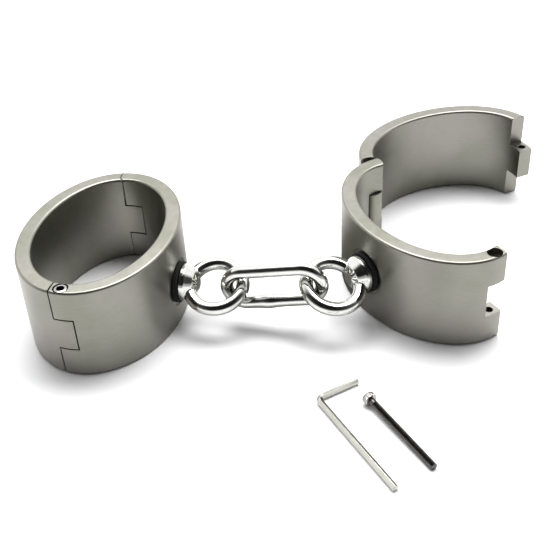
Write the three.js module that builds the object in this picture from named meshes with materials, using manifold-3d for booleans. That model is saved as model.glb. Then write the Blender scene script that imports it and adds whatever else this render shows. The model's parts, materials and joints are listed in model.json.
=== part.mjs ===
// Two oval steel wrist cuffs, joined by one chain link between two eye bolts.
// Each cuff is a front half and a rear half on a hinge pin, held shut by a long socket-head screw.
// The left cuff is shut; the right cuff is open, and its lock screw and the hex key lie loose.
// Millimetres and degrees, +Z up, the cuffs standing on z = 0.

import * as THREE from "three";
import { mergeVertices } from "three/addons/utils/BufferGeometryUtils.js";
import Module from "manifold-3d";

const wasm = await Module();
wasm.setup();

// ---- Driving sizes ----

const CUFF = {
  length: 92, // outside, across the hinge and the lock
  width: 68, // outside, across the eye bolt
  wall: 7,
  height: 44,
  edge: 1.2, // rounding of the rims
  boltHeight: { left: 19.2, right: 22 }, // of each eye bolt above the lower rim
};

const KNUCKLE = {
  reach: 4, // how far a knuckle or the lug passes the middle line, at the faces of the wall
  lugHeight: 15,
  gap: 0.3, // running clearance of every seam
};

const PIN = {
  diameter: 4,
  cover: 5, // solid steel left above the pin
  inset: 0.3, // from the lower rim to the pin's end
  fit: 0.25,
};

const SCREW = {
  shank: 3,
  head: 5.5,
  headHeight: 3,
  sink: 0.2, // how far the head sits below the rim
  counterbore: 6.2,
  fit: 0.3, // round the shank and under the head
  tipGap: 0.8, // from the tip to the lower rim
  chamfer: 0.4,
};

const HEX = { flats: 2.5, socketDepth: 1.6, socketFit: 0.1 };

const SEAT = { diameter: 21.4, depth: 0.9 }; // flat cut into the curved wall, under the washer

const WASHER = { diameter: 18.4, thickness: 2, fit: 0.3, gap: 0.15 };

const EYE = {
  shank: 8,
  shankFit: 0.3,
  shankInset: 0.6, // from the inner face of the wall to the shank's end
  flange: 16.5,
  flangeHeight: 3,
  waist: 12, // diameter where the collar runs into the ring
  waistHeight: 5.2,
  root: 4, // how far the collar fills the ring's wire, past its middle
  ringMiddle: 23.6, // through the middle of the ring's wire
  wire: 6,
  reach: 15.3, // from the flange's underside to the ring's centre
};

const LINK = {
  wire: 5.8,
  length: 48, // outside
  width: 22, // outside
  play: 1, // gap to each ring's wire
  weldLength: 11,
  weldDiameter: 6.9,
  weldShift: 4, // from the link's middle towards the left cuff
};

const KEY = { longArm: 56, shortArm: 20.5, bend: 2.8 }; // arms outside, the bend to the bar's middle

// ---- How the assembly is laid out ----

const POSE = {
  leftHeading: 74.7, // of the left cuff's long axis, from the lock to the hinge
  leftLean: 70, // of the left ring from upright, its top away from the front
  leftContact: 3, // round the left ring, from the bolt's line to the link
  linkHeading: -12.5,
  linkLean: 0, // of the link from upright
  rightContact: 28,
  rightLean: 67,
  rightBolt: 29.4, // heading of the right eye bolt, from its ring to its cuff
  rightOpening: 82.5, // of the right rear half, from shut
};

const LOOSE = {
  keyCorner: [13.3, -48.6], // from the link's middle
  keyHeading: -62.5, // of the long arm
  screwHead: [35, -51.1], // from the link's middle
  screwHeading: -61, // from the head to the tip
};

// ---- Mesh fineness ----

const FINE = { oval: 36, edge: 2, round: 32, ringAround: 40, wireAround: 12, linkAround: 34, keySteps: 60 };

// ---- Derived sizes ----

const rad = THREE.MathUtils.degToRad;
const up = new THREE.Vector3(0, 0, 1);
const halfLength = CUFF.length / 2;
const halfWidth = CUFF.width / 2;
const pinX = halfLength - CUFF.wall / 2; // the pin and the lock screw stand in the middle of the wall
const knuckleRadius = Math.hypot(KNUCKLE.reach, CUFF.wall / 2);
const lugBottom = (CUFF.height - KNUCKLE.lugHeight) / 2;
const lugTop = lugBottom + KNUCKLE.lugHeight;
const seatY = halfWidth - SEAT.depth;
const seatWall = CUFF.wall - SEAT.depth;
const flangeSeat = WASHER.thickness + 2 * WASHER.gap; // from the seat to the flange's underside
const ringReach = flangeSeat + EYE.reach;
const ringRadius = EYE.ringMiddle / 2;
const shankLength = CUFF.height - SCREW.sink - SCREW.headHeight - SCREW.tipGap;
const beyond = 2; // how far a cutting tool runs past what it cuts

// ---- Materials ----

const steel = (color, roughness) => new THREE.MeshStandardMaterial({ color, roughness, metalness: 1 });
const satin = () => steel(0xa8a69d, 0.38);
const chrome = () => steel(0xdcdddd, 0.08);
const darkSteel = () => steel(0x4b4a47, 0.35);
const nickel = () => steel(0xc9c5b4, 0.25);
const rubber = () => new THREE.MeshStandardMaterial({ color: 0x121212, roughness: 0.75, metalness: 0 });

// ---- Solids ----

function solid(geometry) {
  geometry.deleteAttribute("normal");
  geometry.deleteAttribute("uv");
  const merged = mergeVertices(geometry, 1e-4);
  return new wasm.Manifold(
    new wasm.Mesh({
      numProp: 3,
      vertProperties: merged.attributes.position.array,
      triVerts: new Uint32Array(merged.index.array),
    }),
  );
}

function block([x0, x1], [y0, y1], [z0, z1]) {
  const geometry = new THREE.BoxGeometry(x1 - x0, y1 - y0, z1 - z0);
  return solid(geometry.translate((x0 + x1) / 2, (y0 + y1) / 2, (z0 + z1) / 2));
}

// An upright rod, or a prism of few sides, from z0 to z1 round the line (x, y).
function rod(diameter, [z0, z1], [x, y] = [0, 0], sides = FINE.round) {
  const geometry = new THREE.CylinderGeometry(diameter / 2, diameter / 2, z1 - z0, sides);
  return solid(geometry.rotateX(Math.PI / 2).translate(x, y, (z0 + z1) / 2));
}

// A rod along Y at the height of an eye bolt.
function boltRod(diameter, [y0, y1], height) {
  const geometry = new THREE.CylinderGeometry(diameter / 2, diameter / 2, y1 - y0, FINE.round);
  return solid(geometry.translate(0, (y0 + y1) / 2, height));
}

// Turns a profile of [radius, height] points about Z.
function turned(points) {
  const profile = points.map(([r, z]) => new THREE.Vector2(r, z));
  return solid(new THREE.LatheGeometry(profile, FINE.round).rotateX(Math.PI / 2));
}

function meshOf(name, manifold, material) {
  const made = manifold.getMesh();
  const geometry = new THREE.BufferGeometry();
  geometry.setAttribute("position", new THREE.BufferAttribute(made.vertProperties, 3));
  geometry.setIndex(new THREE.BufferAttribute(made.triVerts, 1));
  geometry.computeVertexNormals();
  const mesh = new THREE.Mesh(geometry, material);
  mesh.name = name;
  return mesh;
}

// ---- Cuff, in its own frame: lock at -X, hinge at +X, eye bolt at -Y ----

function ovalTube() {
  const outline = new THREE.Shape();
  outline.absellipse(0, 0, halfLength - CUFF.edge, halfWidth - CUFF.edge, 0, 2 * Math.PI);
  const hole = new THREE.Path();
  const inward = CUFF.wall - CUFF.edge;
  hole.absellipse(0, 0, halfLength - inward, halfWidth - inward, 0, 2 * Math.PI);
  outline.holes.push(hole);
  const tube = new THREE.ExtrudeGeometry(outline, {
    depth: CUFF.height - 2 * CUFF.edge,
    curveSegments: FINE.oval,
    bevelThickness: CUFF.edge,
    bevelSize: CUFF.edge,
    bevelSegments: FINE.edge,
  });
  return solid(tube.translate(0, 0, CUFF.edge));
}

const farX = halfLength + beyond;
const farY = halfWidth + beyond;

// What passes the middle line between two heights: a straight block at the lock and a disc about
// the hinge pin. side is 1 towards +Y and -1 towards -Y, and gap makes it larger all round. The
// block starts short of the middle line, inside the half that it belongs to.
function passing([z0, z1], side, gap) {
  const edge = side * (KNUCKLE.reach + gap);
  const start = -side * beyond;
  const straight = block([-farX, 0], [Math.min(start, edge), Math.max(start, edge)], [z0, z1]);
  return straight.add(rod(2 * (knuckleRadius + gap), [z0, z1], [pinX, 0]));
}

// The front half's two knuckles, or with the running gap the recesses that they lie in.
function knuckles(gap) {
  const under = [-beyond, lugBottom - KNUCKLE.gap + gap];
  const over = [lugTop + KNUCKLE.gap - gap, CUFF.height + beyond];
  return passing(under, 1, gap).add(passing(over, 1, gap));
}

// The rear half's lug, or with the running gap the notch that it lies in.
function lug(gap) {
  return passing([lugBottom - gap, lugTop + gap], -1, gap);
}

function verticalBores() {
  const top = CUFF.height;
  const headDepth = SCREW.sink + SCREW.headHeight + SCREW.fit;
  return rod(SCREW.shank + 2 * SCREW.fit, [-beyond, top + beyond], [-pinX, 0])
    .add(rod(SCREW.counterbore, [top - headDepth, top + beyond], [-pinX, 0]))
    .add(rod(PIN.diameter + 2 * PIN.fit, [-beyond, top - PIN.cover + PIN.fit], [pinX, 0]));
}

function frontHalf(boltHeight) {
  const side = block([-farX, farX], [-farY, 0], [-beyond, CUFF.height + beyond]);
  return ovalTube()
    .intersect(side.add(knuckles(0)).subtract(lug(KNUCKLE.gap)))
    .subtract(verticalBores())
    .subtract(boltRod(EYE.shank + 2 * EYE.shankFit, [-farY, 0], boltHeight))
    .subtract(boltRod(SEAT.diameter, [-farY, -seatY], boltHeight));
}

function rearHalf() {
  const side = block([-farX, farX], [0, farY], [-beyond, CUFF.height + beyond]);
  return ovalTube()
    .intersect(side.add(lug(0)).subtract(knuckles(KNUCKLE.gap)))
    .subtract(verticalBores());
}

const hingePin = () => rod(PIN.diameter, [PIN.inset, CUFF.height - PIN.cover], [pinX, 0]);

// ---- Fasteners ----

// A hexagonal prism along Z, with flats facing +X and -X.
function hexPrism(flats, [z0, z1]) {
  const geometry = new THREE.CylinderGeometry(flats / Math.sqrt(3), flats / Math.sqrt(3), z1 - z0, 6);
  return solid(geometry.rotateX(Math.PI / 2).rotateZ(Math.PI / 6).translate(0, 0, (z0 + z1) / 2));
}

// The lock screw, its head's face on z = 0 and its tip below.
function lockScrew() {
  const headRadius = SCREW.head / 2;
  const shankRadius = SCREW.shank / 2;
  const tip = -SCREW.headHeight - shankLength;
  const body = turned([
    [0, tip],
    [shankRadius - SCREW.chamfer, tip],
    [shankRadius, tip + SCREW.chamfer],
    [shankRadius, -SCREW.headHeight],
    [headRadius, -SCREW.headHeight],
    [headRadius, -SCREW.chamfer],
    [headRadius - SCREW.chamfer, 0],
    [0, 0],
  ]);
  return body.subtract(hexPrism(HEX.flats + 2 * HEX.socketFit, [-HEX.socketDepth, beyond]));
}

// The eye bolt along +Z, its seat on the cuff at z = 0 and its ring in the XZ plane.
function eyeBolt() {
  const shankRadius = EYE.shank / 2;
  const flangeRadius = EYE.flange / 2;
  const end = -(seatWall - EYE.shankInset);
  const wireMiddle = ringReach - ringRadius;
  const collar = turned([
    [0, end],
    [shankRadius, end],
    [shankRadius, flangeSeat],
    [flangeRadius, flangeSeat],
    [flangeRadius, flangeSeat + EYE.flangeHeight],
    [EYE.waist / 2, flangeSeat + EYE.waistHeight],
    [EYE.wire / 2, wireMiddle + EYE.root],
    [0, wireMiddle + EYE.root],
  ]);
  const ring = new THREE.TorusGeometry(ringRadius, EYE.wire / 2, FINE.wireAround, FINE.ringAround);
  return collar.add(solid(ring.rotateX(Math.PI / 2).translate(0, 0, ringReach)));
}

// The washer along +Z on the same seat, with its bore turned in one profile.
function eyeWasher() {
  const outer = WASHER.diameter / 2;
  const inner = EYE.shank / 2 + WASHER.fit;
  const [low, high] = [WASHER.gap, WASHER.gap + WASHER.thickness];
  return turned([
    [inner, low],
    [outer, low],
    [outer, high],
    [inner, high],
    [inner, low],
  ]);
}

// ---- Chain link along X, its width along Z ----

function chainLink() {
  const middleRadius = (LINK.width - LINK.wire) / 2;
  const stretch = (LINK.length - LINK.width) / 2;
  const geometry = new THREE.TorusGeometry(middleRadius, LINK.wire / 2, FINE.wireAround, FINE.linkAround);
  geometry.rotateX(Math.PI / 2);
  // Pulling the ring's two halves apart leaves straight bars between them.
  const place = geometry.attributes.position;
  for (let i = 0; i < place.count; i++) {
    const x = place.getX(i);
    place.setX(i, x + Math.sign(x) * stretch);
  }
  const weld = new THREE.SphereGeometry(LINK.weldDiameter / 2, FINE.wireAround, FINE.wireAround);
  weld.scale(LINK.weldLength / LINK.weldDiameter, 1, 1).translate(-LINK.weldShift, 0, -middleRadius);
  return solid(geometry).add(solid(weld));
}

// ---- Hex key lying in the XY plane, its outer corner at the origin, its long arm along +X ----

function hexKey() {
  const half = HEX.flats / 2;
  const across = HEX.flats / Math.sqrt(3);
  const path = new THREE.CurvePath();
  const turn = KEY.bend + half;
  const shortEnd = new THREE.Vector3(half, KEY.shortArm, half);
  const shortStart = new THREE.Vector3(half, turn, half);
  const longStart = new THREE.Vector3(turn, half, half);
  const longEnd = new THREE.Vector3(KEY.longArm, half, half);
  path.add(new THREE.LineCurve3(shortEnd, shortStart));
  path.add(new THREE.QuadraticBezierCurve3(shortStart, new THREE.Vector3(half, half, half), longStart));
  path.add(new THREE.LineCurve3(longStart, longEnd));
  const corners = [30, 90, 150, 210, 270, 330].map(
    (angle) => new THREE.Vector2(across * Math.cos(rad(angle)), across * Math.sin(rad(angle))),
  );
  const section = new THREE.Shape(corners);
  return solid(new THREE.ExtrudeGeometry(section, { extrudePath: path, steps: FINE.keySteps }));
}

// ---- Assembly ----

const heading = (degrees) => new THREE.Vector3(Math.cos(rad(degrees)), Math.sin(rad(degrees)), 0);

// Turns an object so that its own X, Y and Z lie along the vectors given.
function face(object, x, y, z) {
  object.quaternion.setFromRotationMatrix(new THREE.Matrix4().makeBasis(x, y, z));
  return object;
}

function cuff(side, opening) {
  const group = new THREE.Group();
  const rear = new THREE.Group();
  rear.position.set(pinX, 0, 0);
  rear.rotation.z = -rad(opening);
  const rearMesh = meshOf(side + "_rear_half", rearHalf().translate([-pinX, 0, 0]), satin());
  rear.add(rearMesh);
  group.add(rear);
  group.add(meshOf(side + "_front_half", frontHalf(CUFF.boltHeight[side]), satin()));
  group.add(meshOf(side + "_hinge_pin", hingePin(), darkSteel()));
  const washer = meshOf(side + "_eye_washer", eyeWasher(), rubber());
  washer.position.set(0, -seatY, CUFF.boltHeight[side]);
  washer.rotation.x = Math.PI / 2;
  group.add(washer);
  return group;
}

// An eye bolt at its seat, pointing along out, its ring leaning from upright about that line.
function placedEye(side, seat, out, lean) {
  const away = out.clone().cross(up);
  if (away.y < 0) away.negate();
  const inRing = up.clone().multiplyScalar(Math.cos(lean)).addScaledVector(away, Math.sin(lean));
  const mesh = meshOf(side + "_eye_bolt", eyeBolt(), chrome());
  mesh.position.copy(seat);
  const contact = (angle) =>
    seat
      .clone()
      .addScaledVector(out, ringReach + ringRadius * Math.cos(angle))
      .addScaledVector(inRing, ringRadius * Math.sin(angle));
  return { mesh: face(mesh, inRing, out.clone().cross(inRing), out), contact };
}

const model = new THREE.Group();

// The left cuff stands at the middle of the layout's own frame.
const leftCuff = cuff("left", 0);
leftCuff.rotation.z = rad(POSE.leftHeading);
model.add(leftCuff);

const leftScrew = meshOf("left_lock_screw", lockScrew(), nickel());
leftScrew.position.set(-pinX, 0, CUFF.height - SCREW.sink);
leftCuff.add(leftScrew);

const leftOut = heading(POSE.leftHeading - 90);
const leftSeat = leftOut.clone().multiplyScalar(seatY).setZ(CUFF.boltHeight.left);
const leftEye = placedEye("left", leftSeat, leftOut, rad(POSE.leftLean));
model.add(leftEye.mesh);

// The link runs from where it meets the left ring to where it meets the right one, rising by the
// difference of their heights.
const leftContact = leftEye.contact(rad(POSE.leftContact));
const rightRise = Math.sin(rad(POSE.rightContact)) * Math.cos(rad(POSE.rightLean));
const rise = CUFF.boltHeight.right + ringRadius * rightRise - leftContact.z;
const endToRing = (LINK.wire + EYE.wire) / 2 + LINK.play;
const span = LINK.length - LINK.wire - 2 * endToRing;
const along = heading(POSE.linkHeading)
  .multiplyScalar(Math.sqrt(span ** 2 - rise ** 2))
  .setZ(rise)
  .normalize();
const linkSide = up.clone().cross(along).normalize();
const linkUp = along.clone().cross(linkSide).applyAxisAngle(along, rad(POSE.linkLean));
const link = meshOf("chain_link", chainLink(), chrome());
link.position.copy(leftContact).addScaledVector(along, span / 2);
model.add(face(link, along, linkUp.clone().cross(along), linkUp));

// The right cuff is the left one mirrored, and stands where its ring meets the link.
const rightIn = heading(POSE.rightBolt);
const rightOut = rightIn.clone().negate();
const rightEye = placedEye("right", new THREE.Vector3(), rightOut, rad(POSE.rightLean));
const rightMeets = rightEye.contact(rad(POSE.rightContact));
const rightSeat = leftContact.clone().addScaledVector(along, span).sub(rightMeets);
rightEye.mesh.position.copy(rightSeat);
model.add(rightEye.mesh);

const rightCuff = cuff("right", POSE.rightOpening);
rightCuff.scale.x = -1;
rightCuff.rotation.z = rad(POSE.rightBolt - 90);
rightCuff.position.copy(rightSeat).addScaledVector(rightIn, seatY).setZ(0);
model.add(rightCuff);

// The right lock screw lies on its head's rim and its tip.
const rightScrew = meshOf("right_lock_screw", lockScrew(), nickel());
const drop = Math.asin((SCREW.head - SCREW.shank) / 2 / (shankLength + SCREW.headHeight));
const screwAlong = heading(LOOSE.screwHeading).multiplyScalar(-Math.cos(drop)).setZ(Math.sin(drop));
const screwAcross = up.clone().cross(screwAlong).normalize();
face(rightScrew, screwAcross, screwAlong.clone().cross(screwAcross), screwAlong);
rightScrew.position.set(link.position.x + LOOSE.screwHead[0], link.position.y + LOOSE.screwHead[1], 0);
rightScrew.position.z = -new THREE.Box3().setFromObject(rightScrew, true).min.z;
model.add(rightScrew);

const key = meshOf("hex_key", hexKey(), nickel());
key.rotation.z = rad(LOOSE.keyHeading);
key.position.set(link.position.x + LOOSE.keyCorner[0], link.position.y + LOOSE.keyCorner[1], 0);
model.add(key);

// The part's origin is the middle of its box, on the floor.
const middle = new THREE.Box3().setFromObject(model, true).getCenter(new THREE.Vector3());
model.position.set(-middle.x, -middle.y, 0);

const part = new THREE.Group();
part.add(model);
export default part;
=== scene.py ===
"""Two oval steel wrist cuffs joined by a chain link, with a loose lock screw and its hex key.

Each section makes one piece, or a pair of like pieces, in the order in which the set goes together.
Everything is in metres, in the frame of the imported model.
"""

import json
import math

import bmesh
import bpy
from mathutils import Matrix, Vector


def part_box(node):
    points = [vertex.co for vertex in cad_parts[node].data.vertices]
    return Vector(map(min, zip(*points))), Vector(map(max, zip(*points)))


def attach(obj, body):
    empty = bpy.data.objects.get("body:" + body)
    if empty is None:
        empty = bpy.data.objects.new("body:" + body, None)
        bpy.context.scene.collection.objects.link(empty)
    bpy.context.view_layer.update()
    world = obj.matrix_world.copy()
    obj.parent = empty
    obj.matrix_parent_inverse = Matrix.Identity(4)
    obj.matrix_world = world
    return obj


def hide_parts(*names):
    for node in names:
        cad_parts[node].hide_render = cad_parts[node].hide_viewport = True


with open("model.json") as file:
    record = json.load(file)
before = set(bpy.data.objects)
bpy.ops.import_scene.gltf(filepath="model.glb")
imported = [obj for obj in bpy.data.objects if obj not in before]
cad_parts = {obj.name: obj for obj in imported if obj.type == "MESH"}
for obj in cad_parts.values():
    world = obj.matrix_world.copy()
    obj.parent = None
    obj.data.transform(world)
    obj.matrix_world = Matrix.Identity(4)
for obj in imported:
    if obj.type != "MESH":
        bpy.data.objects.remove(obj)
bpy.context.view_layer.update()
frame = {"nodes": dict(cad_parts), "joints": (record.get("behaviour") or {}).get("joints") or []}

MM = 0.001
nodes = frame["nodes"]
joints = {joint["name"]: joint for joint in frame["joints"]}
scene = bpy.context.scene


# ---- Camera ----
# It stands in front of the set and looks down on it, turned a little about its own line of sight.

CAMERA_PLACE = Vector((-10.7, -338.9, 282.9)) * MM
CAMERA_PITCH = math.radians(37.53)
CAMERA_ROLL = math.radians(-3.2)
CAMERA_LENS = 64.2
CAMERA_SENSOR = 36

optics = bpy.data.cameras.new("camera")
optics.sensor_width = CAMERA_SENSOR
optics.lens = CAMERA_LENS
camera = bpy.data.objects.new("camera", optics)
scene.collection.objects.link(camera)
looking = Matrix.Rotation(math.pi / 2 - CAMERA_PITCH, 4, "X") @ Matrix.Rotation(CAMERA_ROLL, 4, "Z")
camera.matrix_world = Matrix.Translation(CAMERA_PLACE) @ looking
scene.camera = camera


# ---- Cuff halves ----
# Each cuff is a length of thick oval stainless tube, sawn into two halves that mesh like knuckles.
# The walls are brushed round the tube, and the rims and seams are eased by hand.

CUFF_LENGTH = 92 * MM
CUFF_WIDTH = 68 * MM
CUFF_WALL = 7 * MM
CUFF_HEIGHT = 44 * MM
RIM_ROUND = 1.2 * MM
KNUCKLE_REACH = 4 * MM
LUG_HEIGHT = 15 * MM
SEAM = 0.52 * MM
EASED = 0.12 * MM
SEAT_DIAMETER = 21.4 * MM
SEAT_DEPTH = 0.9 * MM
HEAD_BORE = 6.5 * MM
HEAD_BORE_DEPTH = 3.5 * MM
SHANK_BORE = 3.6 * MM
PIN_BORE = 4.5 * MM
PIN_COVER = 5 * MM
EYE_BORE = 8.6 * MM
OPENING = math.radians(82.5)
WALL_STEPS = 224
ROUND_STEPS = 48

pin_x = (CUFF_LENGTH - CUFF_WALL) / 2
seat_y = CUFF_WIDTH / 2 - SEAT_DEPTH
knuckle_radius = math.hypot(KNUCKLE_REACH, CUFF_WALL / 2)
lug_low = (CUFF_HEIGHT - LUG_HEIGHT) / 2
lug_high = lug_low + LUG_HEIGHT
beyond = 3 * MM
hair = 0.01 * MM


class Value:
    """A number or a vector that a material's nodes work out. Maths on it adds the Math nodes."""

    def __init__(self, finish, socket):
        self.finish = finish
        self.socket = socket

    def maths(self, operation, *others):
        return self.finish.node("ShaderNodeMath", {"operation": operation}, *others)

    def __add__(self, other):
        return self.maths("ADD", self, other)

    def __sub__(self, other):
        return self.maths("SUBTRACT", self, other)

    def __rsub__(self, other):
        return self.maths("SUBTRACT", other, self)

    def __mul__(self, other):
        return self.maths("MULTIPLY", self, other)

    __radd__ = __add__
    __rmul__ = __mul__


class Finish:
    """A material in the making, round one Principled shader."""

    def __init__(self, name, **sockets):
        self.material = bpy.data.materials.new(name)
        self.material.use_nodes = True
        self.tree = self.material.node_tree
        self.shader = self.tree.nodes["Principled BSDF"]
        self.set(**sockets)

    def set(self, **sockets):
        for name, value in sockets.items():
            self.fill(self.shader.inputs[name.replace("_", " ")], value)

    def fill(self, socket, value):
        if isinstance(value, Value):
            self.tree.links.new(value.socket, socket)
        else:
            socket.default_value = value

    def node(self, kind, settings, *inputs, out=0):
        """Adds a node. Its settings are set first, then its inputs in order, or by name from a dict."""
        made = self.tree.nodes.new(kind)
        for name, value in settings.items():
            if name == "stops":
                self.stops(made.color_ramp, value)
            else:
                setattr(made, name, value)
        for place, value in enumerate(inputs):
            if isinstance(value, dict):
                for name, inner in value.items():
                    self.fill(made.inputs[name], inner)
            else:
                self.fill(made.inputs[place], value)
        return Value(self, made.outputs[out])

    def stops(self, ramp, stops):
        for index, (position, colour) in enumerate(stops):
            stop = ramp.elements[index] if index < 2 else ramp.elements.new(position)
            stop.position = position
            stop.color = colour

    def place(self, stretch=(1, 1, 1)):
        """Object coordinates, in metres, stretched along each axis."""
        spot = self.node("ShaderNodeTexCoord", {}, out="Object")
        return self.node("ShaderNodeMapping", {}, {"Vector": spot, "Scale": stretch})

    def noise(self, scale, detail=3, stretch=(1, 1, 1), roughness=0.5):
        sockets = {"Vector": self.place(stretch), "Scale": scale, "Detail": detail, "Roughness": roughness}
        return self.node("ShaderNodeTexNoise", {}, sockets)

    def ramp(self, value, *stops):
        return self.node("ShaderNodeValToRGB", {"stops": stops}, value)

    def blend(self, factor, first, second, how="MIX"):
        mixed = {"data_type": "RGBA", "blend_type": how}
        return self.node("ShaderNodeMix", mixed, {0: factor, 6: first, 7: second}, out=2)

    def bump(self, height, strength, distance):
        sockets = {"Height": height, "Strength": strength, "Distance": distance}
        self.set(Normal=self.node("ShaderNodeBump", {}, sockets))


def rgb(red, green, blue):
    return (red, green, blue, 1)


def satin_steel():
    """Stainless steel brushed round the tube, faintly mottled between olive and pink."""
    finish = Finish("satin_steel", Metallic=1.0)
    cloud = finish.noise(38, detail=2)
    olive, grey, pink = rgb(0.215, 0.215, 0.18), rgb(0.24, 0.237, 0.206), rgb(0.256, 0.242, 0.222)
    tint = finish.ramp(cloud, (0.34, olive), (0.5, grey), (0.68, pink))
    grain = finish.noise(260, detail=5, stretch=(1, 1, 16), roughness=0.65)
    streak = finish.ramp(grain, (0.25, rgb(0.86, 0.86, 0.86)), (0.75, rgb(1.06, 1.06, 1.06)))
    finish.set(Base_Color=finish.blend(1.0, tint, streak, "MULTIPLY"))
    smear = finish.noise(90, detail=3)
    finish.set(Roughness=0.27 + 0.10 * grain + 0.08 * smear)
    finish.bump(grain, 0.12, 0.00004)
    return finish.material


def raised(form, face_outline, low, high):
    """Makes a prism in form from an outline of (x, y) points."""
    corners = [form.verts.new((x, y, low)) for x, y in face_outline]
    face = form.faces.new(corners)
    grown = bmesh.ops.extrude_face_region(form, geom=[face])["geom"]
    tops = [part for part in grown if isinstance(part, bmesh.types.BMVert)]
    bmesh.ops.translate(form, verts=tops, vec=(0, 0, high - low))
    bmesh.ops.recalc_face_normals(form, faces=form.faces)


def hidden(name, form):
    """Turns a bmesh into an object that isn't in the scene, as a tool for a cut."""
    mesh = bpy.data.meshes.new(name)
    form.to_mesh(mesh)
    form.free()
    return bpy.data.objects.new(name, mesh)


def oval_wall():
    """The uncut tube, standing on z = 0, with its four rim edges rounded."""
    form = bmesh.new()
    loops = []
    for inset in (0, CUFF_WALL):
        size = Matrix.Diagonal((CUFF_LENGTH / 2 - inset, CUFF_WIDTH / 2 - inset, 1, 1))
        loops += bmesh.ops.create_circle(form, segments=WALL_STEPS, radius=1, matrix=size)["verts"]
    ring = bmesh.ops.bridge_loops(form, edges=form.edges[:])["faces"]
    grown = bmesh.ops.extrude_face_region(form, geom=ring)["geom"]
    tops = [part for part in grown if isinstance(part, bmesh.types.BMVert)]
    bmesh.ops.translate(form, verts=tops, vec=(0, 0, CUFF_HEIGHT))
    bmesh.ops.recalc_face_normals(form, faces=form.faces)
    rims = [edge for edge in form.edges if edge.calc_face_angle(0) > math.radians(60)]
    bmesh.ops.bevel(
        form, geom=rims, offset=RIM_ROUND, segments=6, profile=0.5, affect="EDGES", material=-1,
        clamp_overlap=True
    )
    return form


def seam_cut(band, keep, meets, grown):
    """What a half loses in one band of height: all on the other side of the seam. keep is -1 for
    the front half, meets is the side of the middle line where the band's knuckle or lug reaches,
    and grown is the running clearance that the cut adds."""
    form = bmesh.new()
    far = CUFF_LENGTH
    radius = knuckle_radius + grown
    edge = meets * (KNUCKLE_REACH + grown)
    turns = [math.pi * (1 - step / ROUND_STEPS) for step in range(ROUND_STEPS + 1)]
    arc = [(pin_x + radius * math.cos(turn), meets * radius * math.sin(turn)) for turn in turns]
    outline = [(-far, edge), (0, edge), (0, 0), *arc, (far, 0), (far, -keep * far), (-far, -keep * far)]
    raised(form, outline, *band)
    return hidden("seam", form)


def bore(diameter, low, high, x=0, y=0):
    """An upright drill from low to high."""
    form = bmesh.new()
    spot = Matrix.Translation((x, y, (low + high) / 2))
    bmesh.ops.create_cone(
        form, cap_ends=True, segments=ROUND_STEPS, radius1=diameter / 2, radius2=diameter / 2,
        depth=high - low, matrix=spot
    )
    return hidden("bore", form)


def eye_bore(diameter, low, high, height):
    """A drill along the eye bolt's line, between two distances towards the ring."""
    form = bmesh.new()
    spot = Matrix.Translation((0, -(low + high) / 2, height)) @ Matrix.Rotation(math.pi / 2, 4, "X")
    bmesh.ops.create_cone(
        form, cap_ends=True, segments=2 * ROUND_STEPS, radius1=diameter / 2, radius2=diameter / 2,
        depth=high - low, matrix=spot
    )
    return hidden("eye_bore", form)


def cut(form, tools):
    """Cuts the tools out of form and gives the result as a bmesh."""
    body = hidden("body", form)
    scene.collection.objects.link(body)
    for tool in tools:
        scene.collection.objects.link(tool)
        step = body.modifiers.new("cut", "BOOLEAN")
        step.operation = "DIFFERENCE"
        step.solver = "EXACT"
        step.object = tool
    seen = body.evaluated_get(bpy.context.evaluated_depsgraph_get())
    result = bmesh.new()
    result.from_mesh(seen.to_mesh())
    for used in [body, *tools]:
        bpy.data.objects.remove(used)
    bmesh.ops.remove_doubles(result, verts=result.verts, dist=2e-6)
    bmesh.ops.dissolve_degenerate(result, edges=result.edges, dist=2e-6)
    return result


top = CUFF_HEIGHT + beyond
lower_knuckle = (-beyond, lug_low - SEAM)
upper_knuckle = (lug_high + SEAM, top)


def front_half(eye_height):
    return cut(oval_wall(), [
        seam_cut(lower_knuckle, -1, 1, 0),
        seam_cut(upper_knuckle, -1, 1, 0),
        seam_cut((lug_low - SEAM - hair, lug_high + SEAM + hair), -1, -1, SEAM),
        bore(SHANK_BORE, -beyond, top, -pin_x),
        bore(HEAD_BORE, CUFF_HEIGHT - HEAD_BORE_DEPTH, top, -pin_x),
        bore(PIN_BORE, -beyond, CUFF_HEIGHT - PIN_COVER, pin_x),
        eye_bore(EYE_BORE, 0, CUFF_WIDTH, eye_height),
        eye_bore(SEAT_DIAMETER, seat_y, CUFF_WIDTH, eye_height),
    ])


def rear_half():
    return cut(oval_wall(), [
        seam_cut((-beyond, lug_low), 1, 1, SEAM),
        seam_cut((lug_high, top), 1, 1, SEAM),
        seam_cut((lug_low - hair, lug_high + hair), 1, -1, 0),
        bore(SHANK_BORE, -beyond, top, -pin_x),
        bore(PIN_BORE, -beyond, CUFF_HEIGHT - PIN_COVER, pin_x),
    ])


def middle(node):
    low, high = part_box(node)
    return (low + high) / 2


WASHER_MIDDLE = seat_y + 1.15 * MM


def cuff_place(side, hand):
    """The cuff's own frame, lock at -X, hinge at +X and eye bolt at -Y, found from its pin and its
    washer. hand is -1 for the right cuff, which is the left one mirrored."""
    pin, washer = middle(side + "_hinge_pin"), middle(side + "_eye_washer")
    seen = math.atan2(pin.y - washer.y, pin.x - washer.x)
    own = math.atan2(WASHER_MIDDLE, hand * pin_x)
    turned = Matrix.Rotation(seen - own, 4, "Z")
    centre = Vector((pin.x, pin.y, 0)) - turned @ Vector((hand * pin_x, 0, 0))
    return Matrix.Translation(centre) @ turned @ Matrix.Diagonal((hand, 1, 1, 1))


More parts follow.
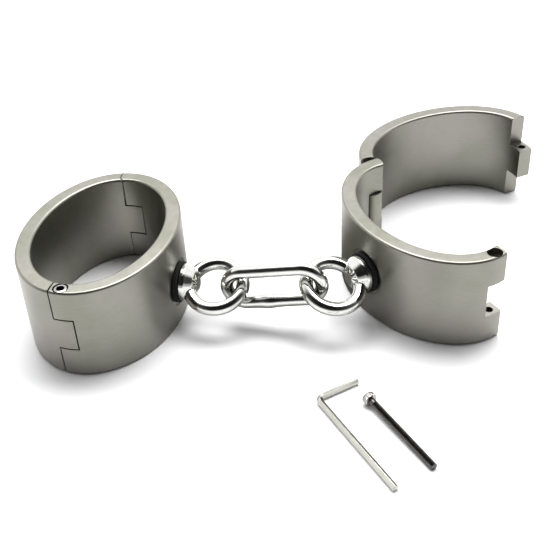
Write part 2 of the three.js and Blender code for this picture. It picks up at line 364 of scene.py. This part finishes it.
def piece(name, form, place, finish):
    """Shows a bmesh as an object that sits at the origin, its place in its mesh."""
    bmesh.ops.transform(form, matrix=place, verts=form.verts)
    if place.determinant() < 0:
        bmesh.ops.reverse_faces(form, faces=form.faces)
    for face in form.faces:
        face.smooth = True
    mesh = bpy.data.meshes.new(name)
    form.to_mesh(mesh)
    form.free()
    mesh.materials.append(finish)
    made = bpy.data.objects.new(name, mesh)
    scene.collection.objects.link(made)
    return made


def eased(made, width, above=34):
    """Rounds a piece's sharp edges and keeps its flat faces flat."""
    bevel = made.modifiers.new("eased", "BEVEL")
    bevel.width = width
    bevel.segments = 2
    bevel.limit_method = "ANGLE"
    bevel.angle_limit = math.radians(above)
    bevel.use_clamp_overlap = False
    flat = made.modifiers.new("flat", "WEIGHTED_NORMAL")
    flat.keep_sharp = False
    return made


steel = satin_steel()
cuffs = {"left": cuff_place("left", 1), "right": cuff_place("right", -1)}
to_pin = Matrix.Translation((pin_x, 0, 0))
swung = to_pin @ Matrix.Rotation(-OPENING, 4, "Z") @ to_pin.inverted()
halves = [
    ("left_front_half", front_half(middle("left_eye_washer").z), cuffs["left"], "left_cuff"),
    ("left_rear_half", rear_half(), cuffs["left"], "left_cuff"),
    ("right_front_half", front_half(middle("right_eye_washer").z), cuffs["right"], "right_cuff"),
    ("right_rear_half", rear_half(), cuffs["right"] @ swung, "right_gate"),
]
for node, form, place, body in halves:
    half = eased(piece(node + "_shell", form, place, steel), EASED)
    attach(half, body)
    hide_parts(node)


# ---- Hinge pins ----
# Plain pins of ground steel, one through the knuckles and the lug of each cuff's hinge side.
# They are pushed up from below, so they show only in the holes of the lower rims.

def ground_steel():
    finish = Finish("ground_steel", Metallic=1.0)
    grain = finish.noise(900, detail=4, stretch=(1, 1, 6))
    finish.set(Base_Color=finish.ramp(grain, (0.3, rgb(0.26, 0.25, 0.24)), (0.7, rgb(0.36, 0.35, 0.33))))
    finish.set(Roughness=0.3 + 0.15 * grain)
    return finish.material


pin_finish = ground_steel()
for side in cuffs:
    nodes[side + "_hinge_pin"].data.materials.clear()
    nodes[side + "_hinge_pin"].data.materials.append(pin_finish)


# ---- Eye bolts ----
# A forged ring, its round collar and a short threaded shank in one piece, tumbled and polished.
# Each is screwed tight into its cuff, its ring leaning almost flat.

RING_MIDDLE = 23.6 * MM
RING_WIRE = 6 * MM
EYE_REACH = 15.3 * MM
COLLAR = 16.5 * MM
COLLAR_HEIGHT = 3 * MM
WAIST = 12 * MM
WAIST_HEIGHT = 5.2 * MM
ROOT = 4 * MM
EYE_SHANK = 8 * MM
SHANK_END = -5.5 * MM
COLLAR_SEAT = 2.3 * MM
LEAN = {"left": math.radians(70), "right": math.radians(67)}
SKIN_GRAIN = 0.22 * MM
RING_STEPS = 160
WIRE_STEPS = 48
ring_reach = COLLAR_SEAT + EYE_REACH


def polished_steel():
    """Stainless steel tumbled to a mirror, with the faint waves that tumbling leaves."""
    finish = Finish("polished_steel", Metallic=1.0)
    wave = finish.noise(150, detail=2)
    haze = finish.noise(420, detail=4)
    finish.set(Base_Color=finish.ramp(haze, (0.3, rgb(0.55, 0.55, 0.52)), (0.7, rgb(0.62, 0.62, 0.60))))
    finish.set(Roughness=0.07 + 0.08 * haze)
    finish.bump(wave, 0.25, 0.0003)
    return finish.material


def spun(outline, steps):
    """Turns an outline of (radius, height) points, from axis to axis, about Z."""
    form = bmesh.new()
    corners = [form.verts.new((radius, 0, height)) for radius, height in outline]
    edges = [form.edges.new(pair) for pair in zip(corners, corners[1:])]
    bmesh.ops.spin(
        form, geom=corners + edges, cent=(0, 0, 0), axis=(0, 0, 1), angle=2 * math.pi, steps=steps,
        use_merge=True
    )
    bmesh.ops.remove_doubles(form, verts=form.verts, dist=1e-7)
    bmesh.ops.recalc_face_normals(form, faces=form.faces)
    return form


def quarter(centre, radius, start, end, steps=6):
    """Points along an arc about a (radius, height) centre, between two angles in degrees."""
    turns = [math.radians(start + (end - start) * step / steps) for step in range(steps + 1)]
    return [(centre[0] + radius * math.cos(turn), centre[1] + radius * math.sin(turn)) for turn in turns]


def joined(forms):
    """The union of several solids as one bmesh."""
    first, *others = [hidden("part", form) for form in forms]
    for used in [first, *others]:
        scene.collection.objects.link(used)
    for other in others:
        step = first.modifiers.new("join", "BOOLEAN")
        step.operation = "UNION"
        step.solver = "EXACT"
        step.object = other
    seen = first.evaluated_get(bpy.context.evaluated_depsgraph_get())
    result = bmesh.new()
    result.from_mesh(seen.to_mesh())
    for used in [first, *others]:
        bpy.data.objects.remove(used)
    bmesh.ops.remove_doubles(result, verts=result.verts, dist=2e-6)
    return result


def eye_ring():
    form = bmesh.new()
    upright = Matrix.Translation((RING_MIDDLE / 2, 0, 0)) @ Matrix.Rotation(math.pi / 2, 4, "X")
    wire = bmesh.ops.create_circle(form, segments=WIRE_STEPS, radius=RING_WIRE / 2, matrix=upright)["verts"]
    bmesh.ops.spin(
        form, geom=wire + form.edges[:], cent=(0, 0, 0), axis=(0, 0, 1), angle=2 * math.pi,
        steps=RING_STEPS, use_merge=True
    )
    bmesh.ops.remove_doubles(form, verts=form.verts, dist=1e-7)
    bmesh.ops.recalc_face_normals(form, faces=form.faces)
    stand = Matrix.Translation((0, 0, ring_reach)) @ Matrix.Rotation(math.pi / 2, 4, "X")
    bmesh.ops.transform(form, matrix=stand, verts=form.verts)
    return form


def eye_collar():
    rim = COLLAR / 2
    ease = 0.35 * MM
    shoulder = COLLAR_SEAT + COLLAR_HEIGHT
    root = ring_reach - RING_MIDDLE / 2 + ROOT
    return spun([
        (0, SHANK_END),
        (EYE_SHANK / 2, SHANK_END),
        (EYE_SHANK / 2, COLLAR_SEAT),
        *quarter((rim - ease, COLLAR_SEAT + ease), ease, -90, 0),
        *quarter((rim - 3 * ease, shoulder - 3 * ease), 3 * ease, 0, 55),
        *quarter((WAIST / 2 + ease, COLLAR_SEAT + WAIST_HEIGHT + 2 * ease), 2 * ease, 235, 190),
        (RING_WIRE / 2 + ease, root - ease),
        (RING_WIRE / 2 - ease, root),
        (0, root),
    ], 96)


def eye_place(side):
    """The eye bolt's frame: +Z from its seat to its ring, +X up the ring's leaning plane."""
    cuff = cuffs[side]
    out = (cuff.to_3x3() @ Vector((0, -1, 0))).normalized()
    seat = cuff @ Vector((0, -seat_y, middle(side + "_eye_washer").z))
    away = out.cross(Vector((0, 0, 1)))
    if away.y < 0:
        away.negate()
    up_ring = math.cos(LEAN[side]) * Vector((0, 0, 1)) + math.sin(LEAN[side]) * away
    across = out.cross(up_ring)
    turned = Matrix((up_ring, across, out)).transposed().to_4x4()
    return Matrix.Translation(seat) @ turned


def forged(made):
    """Skins a piece afresh and smooths it, so that its parts flow into each other."""
    skin = made.modifiers.new("skin", "REMESH")
    skin.mode = "VOXEL"
    skin.voxel_size = SKIN_GRAIN
    skin.use_smooth_shade = True
    flow = made.modifiers.new("flow", "SMOOTH")
    flow.iterations = 16
    return made


chrome = polished_steel()
eyes = {}
for side in cuffs:
    eyes[side] = eye_place(side)
    bolt = forged(piece(side + "_eye", joined([eye_collar(), eye_ring()]), eyes[side], chrome))
    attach(bolt, side + "_cuff")
    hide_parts(side + "_eye_bolt")


# ---- Eye washers ----
# A plain ring of black rubber under each eye bolt's collar. The bolt squeezes it against the flat
# that is milled on the cuff's wall.

WASHER_DIAMETER = 18.4 * MM
WASHER_BORE = 8.6 * MM
WASHER_LOW = 0.15 * MM
WASHER_HIGH = 2.15 * MM


def black_rubber():
    finish = Finish("black_rubber")
    grain = finish.noise(1500, detail=4)
    black, dusty = rgb(0.006, 0.006, 0.006), rgb(0.02, 0.02, 0.021)
    finish.set(Base_Color=finish.ramp(grain, (0.3, black), (0.75, dusty)))
    finish.set(Roughness=0.7 + 0.2 * grain, Specular_IOR_Level=0.15)
    finish.bump(grain, 0.2, 0.00005)
    return finish.material


def washer_ring():
    outer, inner, soft = WASHER_DIAMETER / 2, WASHER_BORE / 2, 0.45 * MM
    outline = [
        (inner, WASHER_LOW),
        *quarter((outer - soft, WASHER_LOW + soft), soft, -90, 0),
        *quarter((outer - soft, WASHER_HIGH - soft), soft, 0, 90),
        (inner, WASHER_HIGH),
        (inner, WASHER_LOW),
    ]
    return spun(outline, 96)


rubber = black_rubber()
for side in cuffs:
    washer = eased(piece(side + "_washer", washer_ring(), eyes[side], rubber), 0.1 * MM, 40)
    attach(washer, side + "_cuff")
    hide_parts(side + "_eye_washer")


# ---- Chain link ----
# One length of polished wire bent to an oval and closed with a butt weld in its lower bar, which
# stands a little proud where it was only roughly dressed.

LINK_WIRE = 5.7 * MM
LINK_LENGTH = 48 * MM
LINK_WIDTH = 22 * MM
WELD_SWELL = 0.17
WELD_LENGTH = 3.6 * MM
WELD_SHIFT = 4 * MM
BEND_STEPS = 48
BAR_STEPS = 60

link_radius = (LINK_WIDTH - LINK_WIRE) / 2
link_stretch = (LINK_LENGTH - LINK_WIDTH) / 2


def link_form():
    """Half the oval is a bend and a bar, and the other half is the same turned round."""
    form = bmesh.new()
    start = Matrix.Translation((link_stretch, 0, -link_radius)) @ Matrix.Rotation(math.pi / 2, 4, "Y")
    wire = bmesh.ops.create_circle(form, segments=WIRE_STEPS, radius=LINK_WIRE / 2, matrix=start)["verts"]
    ring = wire + form.edges[:]
    for end in (1, -1):
        ring = bmesh.ops.spin(
            form, geom=ring, cent=(end * link_stretch, 0, 0), axis=(0, -1, 0), angle=math.pi,
            steps=BEND_STEPS
        )["geom_last"]
        for step in range(BAR_STEPS):
            rim = [part for part in ring if isinstance(part, bmesh.types.BMEdge)]
            grown = bmesh.ops.extrude_edge_only(form, edges=rim)["geom"]
            moved = [part for part in grown if isinstance(part, bmesh.types.BMVert)]
            edges = [part for part in grown if isinstance(part, bmesh.types.BMEdge)]
            bmesh.ops.translate(form, verts=moved, vec=(-end * 2 * link_stretch / BAR_STEPS, 0, 0))
            ring = moved + [edge for edge in edges if all(vert in moved for vert in edge.verts)]
    bmesh.ops.remove_doubles(form, verts=form.verts, dist=1e-6)
    bmesh.ops.recalc_face_normals(form, faces=form.faces)
    swell_weld(form)
    return form


def swell_weld(form):
    """Raises the weld on the lower bar, as a low swelling that fades along the wire."""
    for vert in form.verts:
        if vert.co.z > 0:
            continue
        along = (vert.co.x + WELD_SHIFT) / WELD_LENGTH
        swell = WELD_SWELL * math.exp(-along * along)
        vert.co.y *= 1 + swell
        vert.co.z = -link_radius + (vert.co.z + link_radius) * (1 + swell)


link_from = Vector(joints["link_swing"]["pos_m"])
link_to = Vector(joints["right_cuff_swing"]["pos_m"])
link_along = (link_to - link_from).normalized()
link_side = Vector((0, 0, 1)).cross(link_along).normalized()
link_up = link_along.cross(link_side)
link_turned = Matrix((link_along, link_side, link_up)).transposed().to_4x4()
link_middle = link_to - link_along * (LINK_LENGTH - LINK_WIRE) / 2
link = piece("oval_link", link_form(), Matrix.Translation(link_middle) @ link_turned, chrome)
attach(link, "link")
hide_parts("chain_link")


# ---- Lock screws ----
# Socket-head cap screws, M3 by 40. The head is bright and knurled, and the shank is dark with oil
# and threaded almost up to the head. One holds the left cuff shut and one lies loose.

HEAD = 5.5 * MM
HEAD_HEIGHT = 3 * MM
SHANK = 3 * MM
SHANK_LENGTH = 40 * MM
THREAD_LENGTH = 38 * MM
THREAD_PITCH = 0.5 * MM
THREAD_DEPTH = 0.25 * MM
HEAD_STEPS = 144
KNURL_DEPTH = 0.09 * MM
HEX_FLATS = 2.5 * MM
HEX_CORNERS = HEX_FLATS * 2 / math.sqrt(3)
SOCKET_FLATS = 2.7 * MM
SOCKET_DEPTH = 1.6 * MM
SCREW_HEADING = math.radians(-61)


def screw_head_steel():
    finish = Finish("screw_head_steel", Metallic=1.0)
    wear = finish.noise(900, detail=4)
    finish.set(Base_Color=finish.ramp(wear, (0.3, rgb(0.30, 0.29, 0.28)), (0.7, rgb(0.44, 0.43, 0.42))))
    finish.set(Roughness=0.16 + 0.16 * wear)
    return finish.material


def oiled_steel():
    finish = Finish("oiled_steel", Metallic=1.0)
    wear = finish.noise(700, detail=5)
    finish.set(Base_Color=finish.ramp(wear, (0.3, rgb(0.07, 0.068, 0.064)), (0.75, rgb(0.13, 0.126, 0.12))))
    finish.set(Roughness=0.22 + 0.2 * wear)
    return finish.material


def knurled_head():
    """The head with its top face on z = 0, lofted from the rim of its underside over the knurls and
    down into the hexagonal socket."""
    form = bmesh.new()
    outer, ease, lead = HEAD / 2, 0.4 * MM, SOCKET_FLATS / 2 + 0.35 * MM
    rings = [
        (outer - ease, -HEAD_HEIGHT, False), (outer, ease - HEAD_HEIGHT, True), (outer, -ease, True),
        (outer - ease / 3, -ease / 3, False), (outer - ease, 0, False), (lead, 0, False),
        (0, -0.25 * MM, False), (0, -SOCKET_DEPTH, False),
    ]
    loops = []
    for radius, height, knurled in rings:
        spot = Matrix.Translation((0, 0, height))
        verts = bmesh.ops.create_circle(form, segments=HEAD_STEPS, radius=1, matrix=spot)["verts"]
        for step, vert in enumerate(verts):
            turn = 2 * math.pi * step / HEAD_STEPS
            reach = radius or SOCKET_FLATS / 2 / math.cos(turn % (math.pi / 3) - math.pi / 6)
            if knurled and step % 4 < 2:
                reach -= KNURL_DEPTH
            vert.co.xy = reach * vert.co.xy.normalized()
        loops.append(form.edges[-HEAD_STEPS:])
    for lower, upper in zip(loops, loops[1:]):
        bmesh.ops.bridge_loops(form, edges=lower + upper)
    bmesh.ops.contextual_create(form, geom=loops[0])
    bmesh.ops.contextual_create(form, geom=loops[-1])
    bmesh.ops.recalc_face_normals(form, faces=form.faces)
    return form


def threaded_shank():
    """The shank below the head: plain first, then a thread of one turn for each pitch."""
    radius = SHANK / 2
    plain_end = -HEAD_HEIGHT - (SHANK_LENGTH - THREAD_LENGTH)
    tip = -HEAD_HEIGHT - SHANK_LENGTH
    turns = int(THREAD_LENGTH / THREAD_PITCH)
    outline = [(0, -HEAD_HEIGHT + 0.5 * MM), (radius, -HEAD_HEIGHT + 0.5 * MM), (radius, plain_end)]
    for turn in range(turns):
        height = plain_end - turn * THREAD_PITCH
        outline.append((radius - THREAD_DEPTH, height - THREAD_PITCH * 0.4))
        outline.append((radius, height - THREAD_PITCH * 0.85))
    outline += [(radius - 0.5 * MM, tip), (0, tip)]
    return spun(outline, 32)


def screw(name, place, body, node):
    head_piece = piece(name + "_head", knurled_head(), place, head_finish)
    head_piece.data.set_sharp_from_angle(angle=math.radians(30))
    shank_piece = piece(name + "_shank", threaded_shank(), place, shank_finish)
    shank_piece.data.set_sharp_from_angle(angle=math.radians(35))
    for made in (head_piece, shank_piece):
        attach(made, body)
        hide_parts(node)


head_finish = screw_head_steel()
shank_finish = oiled_steel()
sunk = middle("left_lock_screw")
sunk.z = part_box("left_lock_screw")[1].z
screw("left_screw", Matrix.Translation(sunk), "left_screw", "left_lock_screw")

# The loose screw lies on its head's rim and its tip.
tilt = math.asin((HEAD - SHANK) / 2 / (SHANK_LENGTH + HEAD_HEIGHT))
flat = Vector((-math.cos(SCREW_HEADING), -math.sin(SCREW_HEADING), 0))
lying = flat * math.cos(tilt) + Vector((0, 0, math.sin(tilt)))
half_way = (SHANK_LENGTH + HEAD_HEIGHT) / 2
screw_middle = middle("right_lock_screw")
end_shift = (HEAD - SHANK) / 4 * Vector((abs(flat.y), -abs(flat.x), 0))
across = Vector((0, 0, 1)).cross(lying).normalized()
turned = Matrix((across, lying.cross(across), lying)).transposed().to_4x4()
head_face = screw_middle + lying * half_way + end_shift
head_face.z = HEAD / 2 * math.cos(tilt)
screw("loose_screw", Matrix.Translation(head_face) @ turned, "loose_screw", "right_lock_screw")


# ---- Hex key ----
# The key that turns the lock screws, a length of nickel-plated hexagon bar. It is bent cold at a
# right angle, and its two ends are cut square.

KEY_LONG = 56 * MM
KEY_SHORT = 20.5 * MM
KEY_BEND = 4.05 * MM
KEY_HEADING = math.radians(-62.5)


def nickel():
    finish = Finish("nickel", Metallic=1.0)
    draw = finish.noise(160, detail=2)
    finish.set(Base_Color=finish.ramp(draw, (0.3, rgb(0.44, 0.435, 0.39)), (0.7, rgb(0.50, 0.495, 0.45))))
    finish.set(Roughness=0.2 + 0.06 * draw)
    return finish.material


def bent_hexagon():
    """The key flat on z = 0, its outer corner at the origin and its long arm along +X."""
    form = bmesh.new()
    half = HEX_FLATS / 2
    upright = Matrix.Rotation(math.pi / 2, 4, "Y") @ Matrix.Rotation(math.pi / 6, 4, "Z")
    start = Matrix.Translation((KEY_LONG, half, half)) @ upright
    bmesh.ops.create_circle(form, cap_ends=True, segments=6, radius=HEX_CORNERS / 2, matrix=start)
    grown = bmesh.ops.extrude_face_region(form, geom=form.faces[:])["geom"]
    ends = [part for part in grown if isinstance(part, bmesh.types.BMVert)]
    bmesh.ops.translate(form, verts=ends, vec=(KEY_BEND - KEY_LONG, 0, 0))
    last = [part for part in grown if isinstance(part, bmesh.types.BMFace)]
    bend = bmesh.ops.spin(
        form, geom=last, cent=(KEY_BEND, KEY_BEND, 0), axis=(0, 0, -1), angle=math.pi / 2, steps=14
    )["geom_last"]
    faces = [part for part in bend if isinstance(part, bmesh.types.BMFace)]
    grown = bmesh.ops.extrude_face_region(form, geom=faces)["geom"]
    ends = [part for part in grown if isinstance(part, bmesh.types.BMVert)]
    bmesh.ops.translate(form, verts=ends, vec=(0, KEY_SHORT - KEY_BEND, 0))
    bmesh.ops.remove_doubles(form, verts=form.verts, dist=1e-7)
    bmesh.ops.recalc_face_normals(form, faces=form.faces)
    return form


low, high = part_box("hex_key")
along = Vector((math.cos(KEY_HEADING), math.sin(KEY_HEADING), 0))
beside = Vector((-along.y, along.x, 0))
overhang = (HEX_CORNERS - HEX_FLATS) / 2
key_x = high.x - KEY_LONG * along.x - (HEX_FLATS + overhang) * beside.x
key_y = low.y - KEY_LONG * along.y + overhang * beside.y
key_place = Matrix.Translation((key_x, key_y, 0)) @ Matrix.Rotation(KEY_HEADING, 4, "Z")
key = piece("key", bent_hexagon(), key_place, nickel())
eased(key, 0.12 * MM, 25)
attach(key, "loose_key")
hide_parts("hex_key")


# ---- Floor and light ----
# A white sweep of paper, lit by a broad bright wall behind the set and a soft box above it. The
# room in front is dark, which gives the polished parts their black bands. Between the cuffs the
# paper holds a painted shade that only reflections see.

class Sky:
    """The world's light as a function of direction, worked out by maths nodes like a finish."""

    def __init__(self):
        self.world = bpy.data.worlds.new("studio")
        self.world.use_nodes = True
        scene.world = self.world
        self.tree = self.world.node_tree
        looking = self.node("ShaderNodeTexCoord", {}, out="Generated")
        self.direction = self.node("ShaderNodeSeparateXYZ", {}, looking)

    fill = Finish.fill
    node = Finish.node

    def part(self, axis):
        return Value(self, self.direction.socket.node.outputs[axis])

    def smooth(self, value, start, end):
        """0 where value is at start and 1 where it is at end, and smooth between."""
        spread = {"interpolation_type": "SMOOTHSTEP"}
        return self.node("ShaderNodeMapRange", spread, {"Value": value, "From Min": start, "From Max": end})

    def show(self, light, backdrop):
        seen = self.node("ShaderNodeLightPath", {}, out="Is Camera Ray")
        shown = seen * backdrop + (1 - seen) * light
        self.fill(self.tree.nodes["Background"].inputs["Color"], shown)


def paper_with_painted_shade():
    """White to the eye. For glossy rays it holds a painted shade, a dark grey spot between the cuffs
    that darkens their reflections of the floor.
    """
    finish = Finish("paper_with_painted_shade", Roughness=0.9)
    finish.shader.inputs["Specular IOR Level"].default_value = 0.1
    spot = finish.node("ShaderNodeTexCoord", {}, out="Object")
    between = {"Vector": spot, "Location": (0.1, -0.45, 0), "Scale": (17, 17, 1)}
    painted_shade_place = finish.node("ShaderNodeMapping", {}, between)
    painted_shade_falloff = finish.node("ShaderNodeTexGradient", {"gradient_type": "SPHERICAL"}, painted_shade_place)
    white = rgb(0.93, 0.93, 0.94)
    # Painted shade: the paper fades to dark grey between the cuffs, and only glossy rays see it.
    grey = finish.ramp(painted_shade_falloff, (0.0, white), (0.55, rgb(0.10, 0.10, 0.09)))
    seen = finish.node("ShaderNodeLightPath", {}, out="Is Glossy Ray")
    finish.set(Base_Color=finish.blend(seen, white, grey))
    return finish.material


sweep = bmesh.new()
bmesh.ops.create_grid(sweep, x_segments=1, y_segments=1, size=4)
floor = piece("floor", sweep, Matrix.Identity(4), paper_with_painted_shade())

sky = Sky()
side = sky.part("X")
back = sky.part("Y")
high = sky.part("Z")
behind = sky.smooth(back, -0.28, 0.12)
low_front = sky.smooth(high, 0.30, 0.12)
dark_gap = sky.smooth(side.maths("ABSOLUTE", side), 0.35, 0.9)
room = 0.012 + 0.06 * dark_gap + 0.45 * low_front
light = behind * 1.15 + (1 - behind) * room
sky.show(light * 1.35, 1.0)


def soft_light(name, place, size, power, aim=(0, 0, 0.02)):
    lamp = bpy.data.lights.new(name, "AREA")
    lamp.shape = "RECTANGLE"
    lamp.size, lamp.size_y = size
    lamp.energy = power
    holder = bpy.data.objects.new(name, lamp)
    scene.collection.objects.link(holder)
    facing = (Vector(aim) - Vector(place)).to_track_quat("-Z", "Y").to_matrix().to_4x4()
    holder.matrix_world = Matrix.Translation(place) @ facing


soft_light("ceiling", (0.1, 0.45, 1.2), (1.2, 0.7), 24)

scene.view_settings.view_transform = "Standard"
